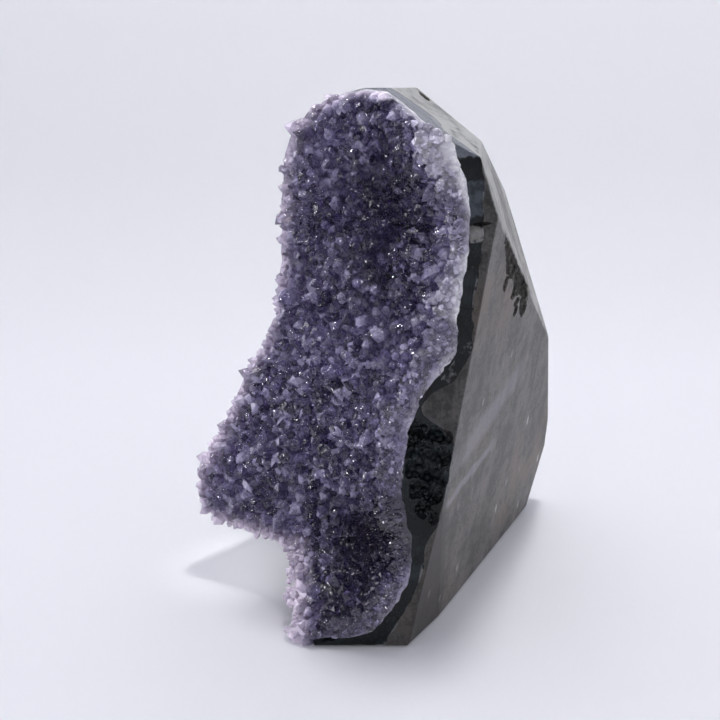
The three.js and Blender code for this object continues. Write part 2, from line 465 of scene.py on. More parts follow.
def crystal_point(name, radius, shaft, tip, lean, pull):
    """A six-sided point of about one unit across, standing on Z = 0."""
    piece = fresh(name, bpy.ops.mesh.primitive_cylinder_add, vertices=6, radius=radius, depth=shaft,
                  location=(0, 0, shaft / 2))
    for corner in piece.data.vertices:
        angle = math.atan2(corner.co.y, corner.co.x)
        squeeze = 1 - pull * (0.5 + 0.5 * math.cos(3 * angle))
        corner.co.x *= squeeze
        corner.co.y *= squeeze
    only(piece)
    bpy.ops.object.mode_set(mode="EDIT")
    bpy.ops.mesh.select_all(action="DESELECT")
    bpy.ops.object.mode_set(mode="OBJECT")
    for face in piece.data.polygons:
        face.select = face.normal.z > 0.9
    bpy.ops.object.mode_set(mode="EDIT")
    bpy.ops.mesh.extrude_region_move(TRANSFORM_OT_translate={"value": (lean[0], lean[1], tip)})
    bpy.ops.mesh.merge(type="CENTER")
    bpy.ops.object.mode_set(mode="OBJECT")
    return piece


def shelved(name, pieces):
    """A collection outside the scene that holds the pieces copies are taken from."""
    shelf = bpy.data.collections.new(name)
    for piece in pieces:
        for home in list(piece.users_collection):
            home.objects.unlink(piece)
        shelf.objects.link(piece)
    return shelf


points_shelf = shelved("points_shelf", [crystal_point(kind, *shape) for kind, shape in POINT_KINDS.items()])
for point in points_shelf.objects:
    print(point.name, "has", len(point.data.vertices), "corners and", len(point.data.polygons), "faces")

# %% Where points take root
SEED = 1807
SPACING = 1.85 * MM
CRUST_ROOT = 2.9 * MM


def beyond_flat(places, name):
    """How far each place stands outside a flat. Negative is inside."""
    point, outward = flat_plane(name)
    return (places - np.array(point)) @ np.array(outward)


def right_of_break(places):
    """How far each place lies to the right of the break line."""
    line_x, line_z = along_break(np.linspace(0, 1, 400))
    return places[:, 0] - np.interp(places[:, 2], line_z, line_x)


def in_undercut(places, margin):
    return (short_of_ledge(places) < margin) & (places[:, 2] < UNDERCUT_TOP + margin)


def root_places(spacing, seed):
    """Places on the wall at about this spacing: rows of a staggered grid, each shaken at random."""
    rng = np.random.default_rng(seed)
    row_height = spacing * 0.87
    columns = int(110 * MM / spacing)
    rows = int(156 * MM / row_height)
    column, row = np.meshgrid(np.arange(columns), np.arange(rows))
    x = -55 * MM + (column + 0.5 * (row % 2)) * spacing
    z = 0.3 * MM + row * row_height
    x = (x + rng.uniform(-0.42, 0.42, x.shape) * spacing).ravel()
    z = (z + rng.uniform(-0.42, 0.42, z.shape) * spacing).ravel()
    places = np.stack([x, wall_y(x, z), z], axis=1)
    inside = np.ones(len(places), bool)
    for name in FLATS:
        inside &= beyond_flat(places, name) < 0.9 * MM
    inside &= (right_of_break(places) > 0.3 * MM) & ~in_undercut(places, -0.2 * MM) & (z > 0.2 * MM)
    return places[inside]


roots = root_places(SPACING, SEED)
print(len(roots), "points take root")

# %% How big each point grows, and which way it leans
rng = np.random.default_rng(SEED + 1)


def nearness(distance, reach=4 * MM):
    """1 at an edge, falling to 0 at this reach from it."""
    return np.clip(1 - distance / reach, 0, 1)


def open_directions(roots):
    """The way each point grows: out of the wall, and over the broken edges where it stands near one."""
    out = wall_normals(roots[:, 0], roots[:, 2])
    over_break = nearness(right_of_break(roots))
    undercut, to_undercut = np.array(facing(UNDERCUT_TURN, 0)), short_of_ledge(roots)
    over_undercut = nearness(np.abs(to_undercut)) * (roots[:, 2] < UNDERCUT_TOP)
    under_lobe = nearness(roots[:, 2] - UNDERCUT_TOP) * (to_undercut < 0)
    out = out + over_break[:, None] * np.array([-0.9, 0, 0.1])
    out = out + over_undercut[:, None] * undercut * 0.9 + under_lobe[:, None] * np.array([-0.2, 0, -0.8])
    return out / np.linalg.norm(out, axis=1, keepdims=True)


def grown_points(roots):
    """Turn, size, kind and heading of each point. Sizes come in patches: neighbours shared one brine."""
    out = open_directions(roots)
    patch = 1 + 0.22 * lumps(roots, 14 * MM, 21)
    chance = rng.random(len(roots))
    size = patch * (1.02 + 0.5 * rng.random(len(roots)))
    size[chance > 0.90] *= 1.5
    size[chance < 0.30] *= 0.7
    from_break = right_of_break(roots)
    at_undercut = nearness(np.abs(short_of_ledge(roots))) * (roots[:, 2] < UNDERCUT_TOP)
    under_lobe = nearness(np.abs(roots[:, 2] - UNDERCUT_TOP)) * (from_break < LOBE_WIDTH)
    at_break = np.maximum(nearness(from_break, 5 * MM), np.maximum(at_undercut, under_lobe))
    size *= 1 - 0.15 * at_break
    lean = np.radians(np.clip(rng.normal(0, 30, len(roots)), -60, 60))
    height = (0.95 + 0.6 * rng.random(len(roots))) * (1 - 0.12 * at_break)
    turns = np.empty((len(roots), 3))
    heading = np.empty((len(roots), 3))
    for index, normal in enumerate(out):
        up = Vector(normal)
        side = up.cross(Vector((rng.normal(), rng.normal(), rng.normal()))).normalized()
        leaning = Matrix.Rotation(lean[index], 4, side) @ up.to_track_quat("Z", "Y").to_matrix().to_4x4()
        spin = Matrix.Rotation(rng.random() * 2 * math.pi, 4, "Z")
        turns[index] = (leaning @ spin).to_euler("XYZ")
        heading[index] = leaning.to_3x3() @ Vector((0, 0, 1))
    kind = rng.integers(0, len(POINT_KINDS), len(roots))
    tall = size * height * MM
    for axis, allowed in ((0, 1.5 * MM), (1, 1.6 * MM)):
        room = roots[:, axis] - (cad_box[0][axis] - allowed)
        needed = np.maximum(-heading[:, axis], 0.05) * 2.4 * tall
        tall = tall * np.clip((room - 1.2 * MM) / needed, 0.35, 1)
    scale = np.stack([size * MM, size * MM, tall], axis=1)
    return turns, scale, kind, heading


turns, scales, kinds, headings = grown_points(roots)
stands = roots + wall_normals(roots[:, 0], roots[:, 2]) * (CRUST_ROOT - 0.6 * MM)
widths = 2 * scales[:, 0] / MM
print("points are", round(widths.min(), 1), "to", round(widths.max(), 1), "mm across")

# %% The root sheet that every point stands in
crust_back = behind_wall("crust_back", SHEET_CELL, lambda x, z: 0 * x - SKIN,
                         WALL_WAVER, WALL_WAVER_SIZE, seed=1)
root_front = behind_wall("root_front", 1.8 * MM, lambda x, z: 0 * x - CRUST_ROOT, 0.45 * MM, 3 * MM, seed=3)
root_sheet = carved(copied(block, "root_sheet"), root_front, "INTERSECT")
root_back = behind_wall("root_back", 4 * MM, lambda x, z: 0 * x + 3 * MM)
carved(root_sheet, root_back, "DIFFERENCE")
print("root sheet:", triangles(root_sheet), "triangles")


# %% Plant the points and join them with the sheet
def planted(name, shelf_items, roots, turns, scales, kinds, ground):
    """One closed solid: a copy of a shelf item at each root, joined with the ground by Geometry Nodes."""
    mesh = bpy.data.meshes.new(name)
    mesh.from_pydata([tuple(place) for place in roots], [], [])
    for layer, kind, values in (("turn", "FLOAT_VECTOR", turns), ("grown", "FLOAT_VECTOR", scales)):
        attribute = mesh.attributes.new(layer, kind, "POINT")
        attribute.data.foreach_set("vector", np.asarray(values, float).ravel())
    mesh.attributes.new("kind", "INT", "POINT").data.foreach_set("value", np.asarray(kinds, np.int32))
    piece = bpy.data.objects.new(name, mesh)
    bpy.context.scene.collection.objects.link(piece)

    tree = bpy.data.node_groups.new("plant_points", "GeometryNodeTree")
    tree.interface.new_socket("Geometry", in_out="INPUT", socket_type="NodeSocketGeometry")
    tree.interface.new_socket("Geometry", in_out="OUTPUT", socket_type="NodeSocketGeometry")
    entry, leave = tree.nodes.new("NodeGroupInput"), tree.nodes.new("NodeGroupOutput")
    shelf = tree.nodes.new("GeometryNodeCollectionInfo")
    shelf.inputs["Collection"].default_value = shelf_items
    shelf.inputs["Separate Children"].default_value = True
    shelf.inputs["Reset Children"].default_value = True
    base = tree.nodes.new("GeometryNodeObjectInfo")
    base.inputs["Object"].default_value = ground
    plant = tree.nodes.new("GeometryNodeInstanceOnPoints")
    plant.inputs["Pick Instance"].default_value = True
    join = tree.nodes.new("GeometryNodeMeshBoolean")
    join.operation, join.solver = "UNION", "MANIFOLD"
    for socket, layer, kind in (("Rotation", "turn", "FLOAT_VECTOR"), ("Scale", "grown", "FLOAT_VECTOR"),
                                ("Instance Index", "kind", "INT")):
        read = tree.nodes.new("GeometryNodeInputNamedAttribute")
        read.data_type = kind
        read.inputs["Name"].default_value = layer
        tree.links.new(read.outputs["Attribute"], plant.inputs[socket])
    tree.links.new(entry.outputs[0], plant.inputs["Points"])
    tree.links.new(shelf.outputs[0], plant.inputs["Instance"])
    tree.links.new(plant.outputs["Instances"], join.inputs["Mesh 2"])
    tree.links.new(base.outputs["Geometry"], join.inputs["Mesh 2"])
    tree.links.new(join.outputs["Mesh"], leave.inputs[0])
    return finish_with(piece, "NODES", node_group=tree)


crust = planted("crust", points_shelf, stands, turns, scales, kinds, root_sheet)
print("crust before sawing:", triangles(crust), "triangles")

# %% Saw the crust, which crumbles at the saw
SAW_CRUMBLE = 0.55 * MM


def crumbly_saw(name, flat, proud):
    """Everything outside a flat, with a rough face: quartz roots splinter where a saw passes."""
    point, outward = flat_plane(flat)
    side = 190 * MM
    piece = fresh(name, bpy.ops.mesh.primitive_grid_add, x_subdivisions=240, y_subdivisions=240, size=side,
                  location=point, rotation=outward.to_track_quat("Z", "Y").to_euler())
    places = corners_of(piece)
    rough = lumps(places, 1.6 * MM, 31, 2) * SAW_CRUMBLE + proud
    move_corners(piece, places + rough[:, None] * np.array(outward))
    return thickened(piece, outward * 60 * MM)


crystal_room = cut_to_flats("crystal_room", (BEVEL, "top"))
carved(crust, crystal_room, "INTERSECT")
saws = [crumbly_saw("saw_side", SIDE, 0.25 * MM), crumbly_saw("saw_crown", "crown", 0.2 * MM)]
for saw in saws:
    carved(crust, saw, "DIFFERENCE")
print("crust after sawing:", triangles(crust), "triangles")

# %% [markdown]
# The saw left the roots of the quartz open along the rim. On the real stone that rim isn't flat: small
# points that sat in the crust crumbled out or stayed standing. So small ones are planted once more, on
# the sawn face itself.

# %% Small points sit along the sawn rim, where the roots lay open
RIM_SPACING = 1.25 * MM
SAWN_BAND, WALL_MARGIN = 1.1 * MM, 1.2 * MM


def open_rim(piece, flat, spacing, rng):
    """Spots on the sawn face of the crust, at about this spacing, and the way that face looks."""
    outward = np.array(flat_plane(flat)[1])
    count = len(piece.data.polygons)
    centres, normals = np.empty(count * 3), np.empty(count * 3)
    piece.data.polygons.foreach_get("center", centres)
    piece.data.polygons.foreach_get("normal", normals)
    centres, normals = centres.reshape(-1, 3), normals.reshape(-1, 3)
    from_wall = wall_y(centres[:, 0], centres[:, 2]) - centres[:, 1]
    at_saw = np.abs(beyond_flat(centres, flat)) < SAWN_BAND
    sawn = at_saw & (normals @ outward > 0.5) & (from_wall > WALL_MARGIN)
    spots = centres[sawn]
    kept, taken = [], set()
    for index in rng.permutation(len(spots)):
        cell = tuple(np.floor(spots[index] / spacing).astype(int))
        if cell not in taken:
            taken.add(cell)
            kept.append(spots[index])
    return np.array(kept), outward


def rim_points(piece, flat, spacing, rng):
    """Small points that lean over the sawn face."""
    spots, outward = open_rim(piece, flat, spacing, rng)
    turns, headings = np.empty((len(spots), 3)), np.empty((len(spots), 3))
    open_side = wall_normals(spots[:, 0], spots[:, 2])
    size = rng.uniform(0.55, 1.35, len(spots)) * MM
    tall = size * rng.uniform(0.75, 1.15, len(spots))
    for index in range(len(spots)):
        way = Vector(outward * rng.uniform(0.5, 1.0) + open_side[index] * rng.uniform(0.1, 1.0)).normalized()
        way = (way + Vector(rng.normal(0, 0.28, 3))).normalized()
        spin = Matrix.Rotation(rng.random() * 2 * math.pi, 4, "Z")
        turns[index] = (way.to_track_quat("Z", "Y").to_matrix().to_4x4() @ spin).to_euler("XYZ")
        headings[index] = way
    stands = spots - headings * tall[:, None] * 1.25
    scales = np.stack([size, size, tall], axis=1)
    return stands, turns, scales, rng.integers(0, len(POINT_KINDS), len(spots)), headings


rim_rng = np.random.default_rng(SEED + 9)
rim_stands, rim_turns, rim_scales, rim_kinds, rim_headings = rim_points(crust, SIDE, RIM_SPACING, rim_rng)
bare = crust
crust = planted("crust", points_shelf, rim_stands, rim_turns, rim_scales, rim_kinds, bare)
thrown_away(bare)
crust.name = "crust"
stands = np.concatenate([stands, rim_stands])
scales = np.concatenate([scales, rim_scales])
headings = np.concatenate([headings, rim_headings])
print(len(rim_stands), "small points along the sawn rim")

# %% The foot of the crust, and its back
FOOT_MIDDLE, FOOT_SIZE = Vector((19, -50, 0)) * MM, Vector((17, 44, 6.4)) * MM
foot = fresh("foot", bpy.ops.mesh.primitive_cube_add, size=1, location=FOOT_MIDDLE, scale=FOOT_SIZE)
in_edit_mode(foot, lambda: bpy.ops.mesh.subdivide(number_cuts=24))
foot_places = corners_of(foot)
foot_shake = np.stack([lumps(foot_places, 3 * MM, seed, 3) for seed in (61, 62, 63)], axis=1)
move_corners(foot, foot_places + foot_shake * MM)
for tool in (foot, crust_back):
    carved(crust, tool, "DIFFERENCE")


def keep_largest(piece):
    """Deletes every loose bit but the largest, such as a tip that a saw cut free."""
    mesh = piece.data
    parent = np.arange(len(mesh.vertices))
    ends = np.empty(len(mesh.edges) * 2, np.int64)
    mesh.edges.foreach_get("vertices", ends)
    ends = ends.reshape(-1, 2)
    while True:
        low = np.minimum(parent[ends[:, 0]], parent[ends[:, 1]])
        before = parent.copy()
        np.minimum.at(parent, ends[:, 0], low)
        np.minimum.at(parent, ends[:, 1], low)
        parent = parent[parent]
        if np.array_equal(before, parent):
            break
    names, counts = np.unique(parent, return_counts=True)
    loose = parent != names[counts.argmax()]
    only(piece)
    bpy.ops.object.mode_set(mode="EDIT")
    bpy.ops.mesh.select_all(action="DESELECT")
    bpy.ops.object.mode_set(mode="OBJECT")
    mesh.vertices.foreach_set("select", loose)
    bpy.ops.object.mode_set(mode="EDIT")
    bpy.ops.mesh.delete(type="VERT")
    bpy.ops.object.mode_set(mode="OBJECT")
    return int(loose.sum())


# %% [markdown]
# ## Vugs, chips and a slit
# Polish never reaches everything. Low on the right the rind is full of small open holes with beads of
# chalcedony in them, high on the broad side a patch of gas bubbles broke open, and the back edge lost a
# few chips. Rough stones are planted by the same Geometry Nodes and cut out of the rock and the rind.

# %% Places on a flat
def on_flat(name, across, height, lift=0.0):
    """A place on a flat at a run across it and a height, both in mm, lifted off it by a few mm."""
    turn = FLATS[name][0]
    point, outward = flat_plane(name)
    level, sideways = facing(turn, 0), facing(turn + 90, 0)
    reach = (outward.dot(point) - outward.z * height * MM) / outward.dot(level)
    return sideways * across * MM + level * reach + Vector((0, 0, height * MM)) + outward * lift * MM


STONE_ROUGHNESS = 0.28


def rough_stone(name, seed):
    """A lump of about one unit across that a chip or a bubble leaves behind."""
    piece = fresh(name, bpy.ops.mesh.primitive_ico_sphere_add, subdivisions=4, radius=1)
    places = corners_of(piece)
    move_corners(piece, places * (1 + STONE_ROUGHNESS * lumps(places, 0.8, seed, 4))[:, None])
    return piece


stone_shelf = shelved("stone_shelf", [rough_stone(f"rough_stone_{seed}", seed) for seed in (41, 42, 43)])

# %% Where stone is missing: across, height and lift on a flat, then the three half sizes, all in mm
VUGS = [
    (SIDE, -2.6, 66.4, 0.3, 3.2, 2.6, 2.6), (SIDE, 1.4, 65.4, 0.2, 3.0, 2.6, 2.4),
    (SIDE, 4.4, 64.4, 0.3, 2.2, 2.2, 2.4), (SIDE, -4.0, 61.5, 0.4, 3.0, 2.8, 3.4),
    (SIDE, 0.2, 60.0, 0.2, 3.6, 3.2, 3.6), (SIDE, 3.9, 59.0, 0.3, 2.4, 2.4, 3.4),
    (SIDE, -3.4, 55.5, 0.4, 2.8, 2.6, 3.2), (SIDE, 0.9, 54.0, 0.2, 3.2, 3.0, 3.6),
    (SIDE, 4.3, 52.6, 0.5, 1.8, 1.8, 3.0), (SIDE, -2.4, 49.2, 0.4, 2.6, 2.4, 3.0),
    (SIDE, 1.8, 47.6, 0.3, 2.6, 2.4, 3.2), (SIDE, -0.8, 43.4, 0.4, 2.2, 2.0, 2.8),
    (SIDE, 1.9, 40.8, 0.6, 1.6, 1.6, 2.4), (SIDE, -4.4, 70.0, 0.5, 1.5, 1.5, 2.4),
    (SIDE, 12.5, 122.9, 0.2, 2.2, 1.2, 0.6), (BROAD, 53.5, 14.5, 0.4, 3.6, 2.8, 2.8),
    (BROAD, 50.5, 9.0, 0.2, 3.2, 2.4, 2.0), (BROAD, 47.5, 5.2, 0.6, 2.6, 2.0, 1.8),
    (BROAD, 54.5, 22.0, 1.0, 2.8, 2.2, 2.2), ("top", -1.5, 141.7, 0.2, 3.6, 1.4, 1.6),
    ("top", 6.0, 134.0, 0.5, 3.4, 1.3, 1.7), (BEVEL, 6.0, 118.0, 0.4, 1.8, 1.1, 2.4),
    (BEVEL, 30.0, 70.0, 0.5, 2.2, 1.3, 2.8),
]


PATCH_LINE = [(-23, 116), (-18, 110), (-13, 104.5), (-7.5, 99), (-3, 94.5), (1, 89), (2.5, 84)]
PATCH_STONES = 90


def rough_patch(rng):
    """Small overlapping holes along the line where gas bubbles broke open."""
    across, height = np.array(PATCH_LINE).T
    stops = range(len(PATCH_LINE))
    spots = []
    for share in rng.beta(1.3, 1.6, PATCH_STONES):
        at = share * (len(PATCH_LINE) - 1)
        spread = 0.5 + 2.4 * math.sin(math.pi * share) * rng.uniform(0.3, 1.4)
        spots.append((BROAD, np.interp(at, stops, across) + rng.normal(0, spread * 0.9),
                      np.interp(at, stops, height) + rng.normal(0, spread * 0.9), rng.uniform(0.1, 0.6),
                      rng.uniform(0.9, 2.4), rng.uniform(0.9, 1.6), rng.uniform(0.9, 2.6)))
    return spots


def stones_at(spots, rng):
    """Places, turns and scales for rough stones whose flattest side faces out of their flat."""
    places, turns, scales = [], [], []
    for flat, across, height, lift, wide, deep, tall in spots:
        turn, tilt, _ = FLATS[flat]
        places.append(on_flat(flat, across, height, lift))
        facing_out = Matrix.Rotation(math.radians(turn), 4, "Z")
        facing_out = facing_out @ Matrix.Rotation(math.radians(-tilt), 4, "X")
        turns.append(tuple((facing_out @ Matrix.Rotation(rng.uniform(-0.3, 0.3), 4, "Y")).to_euler("XYZ")))
        scales.append((wide * MM, deep * MM, tall * MM))
    return places, turns, scales, rng.integers(0, 3, len(spots))


stone_rng = np.random.default_rng(77)
under_table = fresh("under_table", bpy.ops.mesh.primitive_cube_add, size=1 * MM, location=(0, 0, -20 * MM))
missing_spots = VUGS + rough_patch(stone_rng)
missing = planted("missing_stone", stone_shelf, *stones_at(missing_spots, stone_rng), under_table)
rind_whole = copied(rind, "rind_whole")
for piece in (rock, rind):
    carved(piece, missing, "DIFFERENCE")
print("stone is missing in", len(VUGS), "places; rock:", triangles(rock), "rind:", triangles(rind))

# %% Beads of chalcedony inside the vugs
BEAD_COUNT = 80


def bead_spots(rng):
    """Beads sit on the floors of the vugs, just under the flat."""
    spots = []
    side_vugs = [spot for spot in VUGS if spot[0] == SIDE and spot[2] < 70]
    for _ in range(BEAD_COUNT):
        flat, across, height, lift, wide, deep, tall = side_vugs[rng.integers(len(side_vugs))]
        angle = rng.uniform(0, 2 * math.pi)
        run = rng.uniform(0.55, 1.0)
        size = rng.uniform(0.4, 1.1)
        sunk = -deep * (1 - run**2) ** 0.5 * 0.9 - size * 0.35 + lift
        spots.append((flat, across + wide * run * math.cos(angle), height + tall * run * math.sin(angle),
                      min(sunk, -size * 1.05), size, size, size))
    return spots


three_beads = [fresh(f"bead_{number}", bpy.ops.mesh.primitive_ico_sphere_add, subdivisions=2, radius=1)
               for number in range(3)]
bead_shelf = shelved("bead_shelf", three_beads)
beads = planted("beads", bead_shelf, *stones_at(bead_spots(stone_rng), stone_rng), under_table)
carved(beads, rind_whole, "INTERSECT")
carved(rind, beads, "UNION")
print("rind with beads:", triangles(rind), "triangles")

# %% Clear away loose bits
for piece in (rock, rind, crust):
    print(piece.name, "lost", keep_largest(piece), "loose corners and has", triangles(piece), "triangles")

# %% Say what each piece stands for
PIECES = {
    "basalt_rock": (rock, "host_rock", "basalt"),
    "rind": (rind, "chalcedony_rind", "chalcedony"),
    "crust": (crust, "amethyst_crust", "amethyst"),
}
thrown_away(under_table, missing, rind_whole, beads, *stone_shelf.objects, *bead_shelf.objects)
thrown_away(block, broken_off, fallen_out, wall_front, rind_back, rock_front, crust_back, root_front)
thrown_away(root_back, root_sheet, crystal_room, foot, *saws, *points_shelf.objects)
for piece, node, slot in PIECES.values():
    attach(piece, "root")
    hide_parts(node)


# %% [markdown]
# ## Finishes
# A material is a web of nodes. Typing the web out link by link is hard to read, so a small class wraps a
# socket and lets it take part in sums: `1 - mask * 2` adds the Math nodes by itself. Everything else goes
# through one method that adds a node, sets it up and fills its sockets.

# %% Sockets that take part in sums
class Wire:
    """An output socket of a finish. Sums of wires and numbers add Math nodes."""

    def __init__(self, finish, socket):
        self.finish, self.socket = finish, socket

    def sum(self, operation, first, second):
        return self.finish.node("ShaderNodeMath", {"operation": operation}, {0: first, 1: second})

    def __add__(self, other):
        return self.sum("ADD", self, other)

    def __radd__(self, other):
        return self.sum("ADD", other, self)

    def __sub__(self, other):
        return self.sum("SUBTRACT", self, other)

    def __rsub__(self, other):
        return self.sum("SUBTRACT", other, self)

    def __mul__(self, other):
        return self.sum("MULTIPLY", self, other)

    def __rmul__(self, other):
        return self.sum("MULTIPLY", other, self)


class Finish:
    """A material in the making."""

    def __init__(self, name):
        self.material = bpy.data.materials.new(name)
        self.material.use_nodes = True
        self.tree = self.material.node_tree
        self.tree.nodes.clear()
        self.place = self.node("ShaderNodeTexCoord", output="Object")

    def node(self, kind, settings=None, sockets=None, output=0):
        """Adds a node: its settings first, then the values or wires of its sockets. Gives one output."""
        made = self.tree.nodes.new(kind)
        for name, value in (settings or {}).items():
            if name == "stops":
                ramp = made.color_ramp
                while len(ramp.elements) < len(value):
                    ramp.elements.new(1)
                for stop, (at, color) in zip(ramp.elements, value):
                    stop.position, stop.color = at, (*color, 1)
            else:
                setattr(made, name, value)
        for name, value in (sockets or {}).items():
            if isinstance(value, Wire):
                self.tree.links.new(value.socket, made.inputs[name])
            elif value is not None:
                made.inputs[name].default_value = value
        return Wire(self, made.outputs[output])

    def noise(self, scale, detail=3.0, roughness=0.5, place=None):
        """Noise with this many lumps to a metre."""
        return self.node("ShaderNodeTexNoise", {}, {"Vector": place or self.place, "Scale": scale,
                                                    "Detail": detail, "Roughness": roughness}, "Fac")

    def cells(self, scale, place=None):
        """How far a place lies from the middle of its cell, with this many cells to a metre."""
        return self.node("ShaderNodeTexVoronoi", {}, {"Vector": place or self.place, "Scale": scale},
                         "Distance")

    def step(self, value, low, high, smooth=True):
        """0 below low, 1 above high, and a soft rise between."""
        kind = "SMOOTHSTEP" if smooth else "LINEAR"
        return self.node("ShaderNodeMapRange", {"interpolation_type": kind, "clamp": True},
                         {"Value": value, "From Min": low, "From Max": high})

    def blend(self, share, first, second):
        """A colour that goes from the first to the second."""
        color = [(*c, 1) if isinstance(c, tuple) else c for c in (first, second)]
        return self.node("ShaderNodeMix", {"data_type": "RGBA", "clamp_factor": True},
                         {0: share, 6: color[0], 7: color[1]}, 2)

    def stretched(self, x, y, z, turn=(0, 0, 0)):
        """Object coordinates, scaled along each axis: a small scale draws the pattern out."""
        return self.node("ShaderNodeMapping", {},
                         {"Vector": self.place, "Scale": (x, y, z), "Rotation": turn})

    def read(self, name):
        """A value that was stored on the mesh."""
        return self.node("ShaderNodeAttribute", {"attribute_name": name}, {}, "Fac")

    def size_of(self, value):
        return self.node("ShaderNodeMath", {"operation": "ABSOLUTE"}, {0: value})

    def most(self, first, second):
        return self.node("ShaderNodeMath", {"operation": "MAXIMUM"}, {0: first, 1: second})

    def along(self, direction):
        """How far a place lies along a direction, in metres."""
        return self.node("ShaderNodeVectorMath", {"operation": "DOT_PRODUCT"},
                         {0: self.place, 1: direction}, "Value")

    def bump(self, height, distance, strength=1.0, normal=None):
        """Relief from a height between 0 and 1, this many metres high."""
        return self.node("ShaderNodeBump", {}, {"Height": height, "Distance": distance, "Strength": strength,
                                                "Normal": normal})

    def gloss(self, sockets):
        """A Principled shader. Values that are the same all over sit on its own sockets."""
        return self.node("ShaderNodeBsdfPrincipled", {}, sockets)

    def done(self, surface, volume=None):
        out = self.tree.nodes.new("ShaderNodeOutputMaterial")
        self.tree.links.new(surface.socket, out.inputs["Surface"])
        if volume:
            self.tree.links.new(volume.socket, out.inputs["Volume"])
        return self.material


def coat(piece, material):
    piece.data.materials.clear()
    piece.data.materials.append(material)
    print(piece.name, "is finished in", material.name, "with", len(material.node_tree.nodes), "nodes")


# %% [markdown]
# ### Polished basalt
# Basalt is a dense grey-brown lava. Polished, it shows fine grain, soft clouds, scratches drawn upwards
# by the lapping wheel, two veins of pale mineral, small white flecks and a little rust. Where it was
# never polished, on the breaks and in the holes, it is darker and rough. The two flats near the top are
# painted pale, partly a weathered skin and partly a painted highlight for the light these upward flats
# catch, and the flat beside the crystals and its chamfer are painted darker as painted shade. All of this
# is worked out from the place in the stone, so veins run on across a ridge as they do in a real block.

# %% Where the stone is polished
def stored(piece, name, values):
    """Stores one number at each corner of the mesh."""
    layer = piece.data.attributes.new(name, "FLOAT", "POINT")
    layer.data.foreach_set("value", np.asarray(values, np.float32))


POLISH_TOLERANCE = 0.3 * MM


def polish_of(piece):
    """1 at corners that lie on a flat, 0 in chips, vugs and breaks."""
    places = corners_of(piece)
    from_flats = np.min([np.abs(beyond_flat(places, name)) for name in FLATS], axis=0)
    return (from_flats < POLISH_TOLERANCE).astype(float)


for piece in (rock, rind):
    stored(piece, "polish", polish_of(piece))

# %% Basalt
VEIN_START, VEIN_END = Vector((36.0, -24.7, 53.7)) * MM, Vector((22.6, 10.2, 60.6)) * MM
BRANCH_START, BRANCH_END = Vector((34.8, -25.4, 43.3)) * MM, Vector((22.7, 4.5, 45.4)) * MM
VEIN_DIP = Vector((-0.9, -0.35, 0.25))
STREAK_TURN = (0.05, 0.10, 0)


def near_sheet(f, start, end, half_width, waver):
    """1 in the middle of a thin sheet of mineral that cuts through the stone, and 0 outside it."""
    across = (end - start).cross(VEIN_DIP).normalized()
    off = f.along(across) - across.dot(start) + waver
    return 1 - f.step(f.size_of(off), half_width * 0.25, half_width)


def on_face(f, name):
    """1 on one of the flats, and 0 away from it."""
    point, outward = flat_plane(name)
    return 1 - f.step(f.size_of(f.along(outward) - outward.dot(point)), 0.1 * MM, 0.45 * MM)


